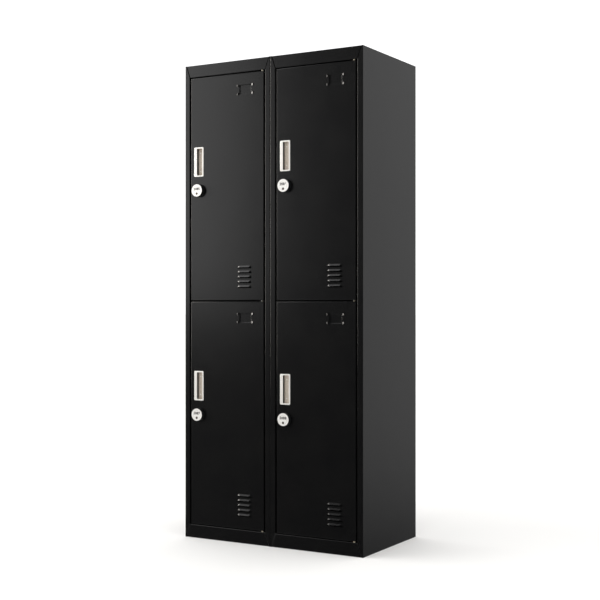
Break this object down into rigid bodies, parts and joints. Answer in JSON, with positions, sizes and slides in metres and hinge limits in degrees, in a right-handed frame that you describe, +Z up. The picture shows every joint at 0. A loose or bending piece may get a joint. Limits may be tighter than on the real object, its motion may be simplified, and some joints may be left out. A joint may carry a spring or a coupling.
{
  "type": "locker cabinet",
  "caption": "Tall sheet-steel locker cabinet in two bolted modules, with hinged doors one above the other, recessed pull handles, knob locks, louvres and card holders.",
  "frame": {"origin": "middle of the footprint at floor level; the footprint runs from the faces of the lock knobs to the back panels", "axes": "+X to the right of a person facing the doors, the doors face -Y, +Z up"},
  "size_m": [0.76, 0.466, 1.8],
  "materials": {
    "black_powder_coat": "satin black powder coat with a fine orange-peel texture",
    "handle_plating": "satin nickel-plated zinc casting",
    "satin_nickel": "spun satin nickel",
    "lock_housing": "moulded black plastic, fine texture",
    "zinc_plated_steel": "bright zinc plate",
    "nylon": "natural white nylon",
    "buffer_rubber": "soft black rubber",
    "chromed_tube": "bright drawn tube",
    "socket_plastic": "moulded black plastic"
  },
  "bodies": {
    "root": {"hinge_lugs": "black_powder_coat", "hinge_pins": "zinc_plated_steel", "hinge_bushes": "nylon", "door_buffers": "buffer_rubber", "coat_rails": "chromed_tube", "rail_sockets": "socket_plastic", "joining_bolts": "zinc_plated_steel", "joining_nuts": "zinc_plated_steel", "left_module_left_side": "black_powder_coat", "left_module_right_side": "black_powder_coat", "left_module_top": "black_powder_coat", "left_module_bottom": "black_powder_coat", "left_module_back": "black_powder_coat", "left_module_shelf": "black_powder_coat", "right_module_left_side": "black_powder_coat", "right_module_right_side": "black_powder_coat", "right_module_top": "black_powder_coat", "right_module_bottom": "black_powder_coat", "right_module_back": "black_powder_coat", "right_module_shelf": "black_powder_coat"},
    "upper_left_door": {"upper_left_door_panel": "black_powder_coat", "upper_left_door_stiffener": "black_powder_coat", "upper_left_pull_handle": "handle_plating", "upper_left_lock_body": "lock_housing", "upper_left_lock_nut": "zinc_plated_steel"},
    "upper_left_knob": {"upper_left_lock_knob": "lock_housing", "upper_left_knob_face": "satin_nickel", "upper_left_lock_cam": "zinc_plated_steel", "upper_left_cam_screw": "zinc_plated_steel"},
    "upper_left_key_plug": {"upper_left_key_plug": "satin_nickel"},
    "upper_right_door": {"upper_right_door_panel": "black_powder_coat", "upper_right_door_stiffener": "black_powder_coat", "upper_right_pull_handle": "handle_plating", "upper_right_lock_body": "lock_housing", "upper_right_lock_nut": "zinc_plated_steel"},
    "upper_right_knob": {"upper_right_lock_knob": "lock_housing", "upper_right_knob_face": "satin_nickel", "upper_right_lock_cam": "zinc_plated_steel", "upper_right_cam_screw": "zinc_plated_steel"},
    "upper_right_key_plug": {"upper_right_key_plug": "satin_nickel"},
    "lower_left_door": {"lower_left_door_panel": "black_powder_coat", "lower_left_door_stiffener": "black_powder_coat", "lower_left_pull_handle": "handle_plating", "lower_left_lock_body": "lock_housing", "lower_left_lock_nut": "zinc_plated_steel"},
    "lower_left_knob": {"lower_left_lock_knob": "lock_housing", "lower_left_knob_face": "satin_nickel", "lower_left_lock_cam": "zinc_plated_steel", "lower_left_cam_screw": "zinc_plated_steel"},
    "lower_left_key_plug": {"lower_left_key_plug": "satin_nickel"},
    "lower_right_door": {"lower_right_door_panel": "black_powder_coat", "lower_right_door_stiffener": "black_powder_coat", "lower_right_pull_handle": "handle_plating", "lower_right_lock_body": "lock_housing", "lower_right_lock_nut": "zinc_plated_steel"},
    "lower_right_knob": {"lower_right_lock_knob": "lock_housing", "lower_right_knob_face": "satin_nickel", "lower_right_lock_cam": "zinc_plated_steel", "lower_right_cam_screw": "zinc_plated_steel"},
    "lower_right_key_plug": {"lower_right_key_plug": "satin_nickel"}
  },
  "joints": [
    {"name": "upper_left_door_hinge", "type": "hinge", "parent": "root", "child": "upper_left_door", "pos_m": [-0.037, -0.2105, 1.32725], "axis": [0, 0, 1], "range_deg": [0, 110]},
    {"name": "upper_left_knob_turn", "type": "hinge", "parent": "upper_left_door", "child": "upper_left_knob", "pos_m": [-0.316, -0.23, 1.3215], "axis": [0, 1, 0], "range_deg": [0, 90]},
    {"name": "upper_left_key_turn", "type": "hinge", "parent": "upper_left_knob", "child": "upper_left_key_plug", "pos_m": [-0.316, -0.23, 1.3095], "axis": [0, 1, 0], "range_deg": [0, 90]},
    {"name": "upper_right_door_hinge", "type": "hinge", "parent": "root", "child": "upper_right_door", "pos_m": [0.343, -0.2105, 1.32725], "axis": [0, 0, 1], "range_deg": [0, 110]},
    {"name": "upper_right_knob_turn", "type": "hinge", "parent": "upper_right_door", "child": "upper_right_knob", "pos_m": [0.064, -0.23, 1.3215], "axis": [0, 1, 0], "range_deg": [0, 90]},
    {"name": "upper_right_key_turn", "type": "hinge", "parent": "upper_right_knob", "child": "upper_right_key_plug", "pos_m": [0.064, -0.23, 1.3095], "axis": [0, 1, 0], "range_deg": [0, 90]},
    {"name": "lower_left_door_hinge", "type": "hinge", "parent": "root", "child": "lower_left_door", "pos_m": [-0.037, -0.2105, 0.47675], "axis": [0, 0, 1], "range_deg": [0, 110]},
    {"name": "lower_left_knob_turn", "type": "hinge", "parent": "lower_left_door", "child": "lower_left_knob", "pos_m": [-0.316, -0.23, 0.471], "axis": [0, 1, 0], "range_deg": [0, 90]},
    {"name": "lower_left_key_turn", "type": "hinge", "parent": "lower_left_knob", "child": "lower_left_key_plug", "pos_m": [-0.316, -0.23, 0.459], "axis": [0, 1, 0], "range_deg": [0, 90]},
    {"name": "lower_right_door_hinge", "type": "hinge", "parent": "root", "child": "lower_right_door", "pos_m": [0.343, -0.2105, 0.47675], "axis": [0, 0, 1], "range_deg": [0, 110]},
    {"name": "lower_right_knob_turn", "type": "hinge", "parent": "lower_right_door", "child": "lower_right_knob", "pos_m": [0.064, -0.23, 0.471], "axis": [0, 1, 0], "range_deg": [0, 90]},
    {"name": "lower_right_key_turn", "type": "hinge", "parent": "lower_right_knob", "child": "lower_right_key_plug", "pos_m": [0.064, -0.23, 0.459], "axis": [0, 1, 0], "range_deg": [0, 90]}
  ]
}
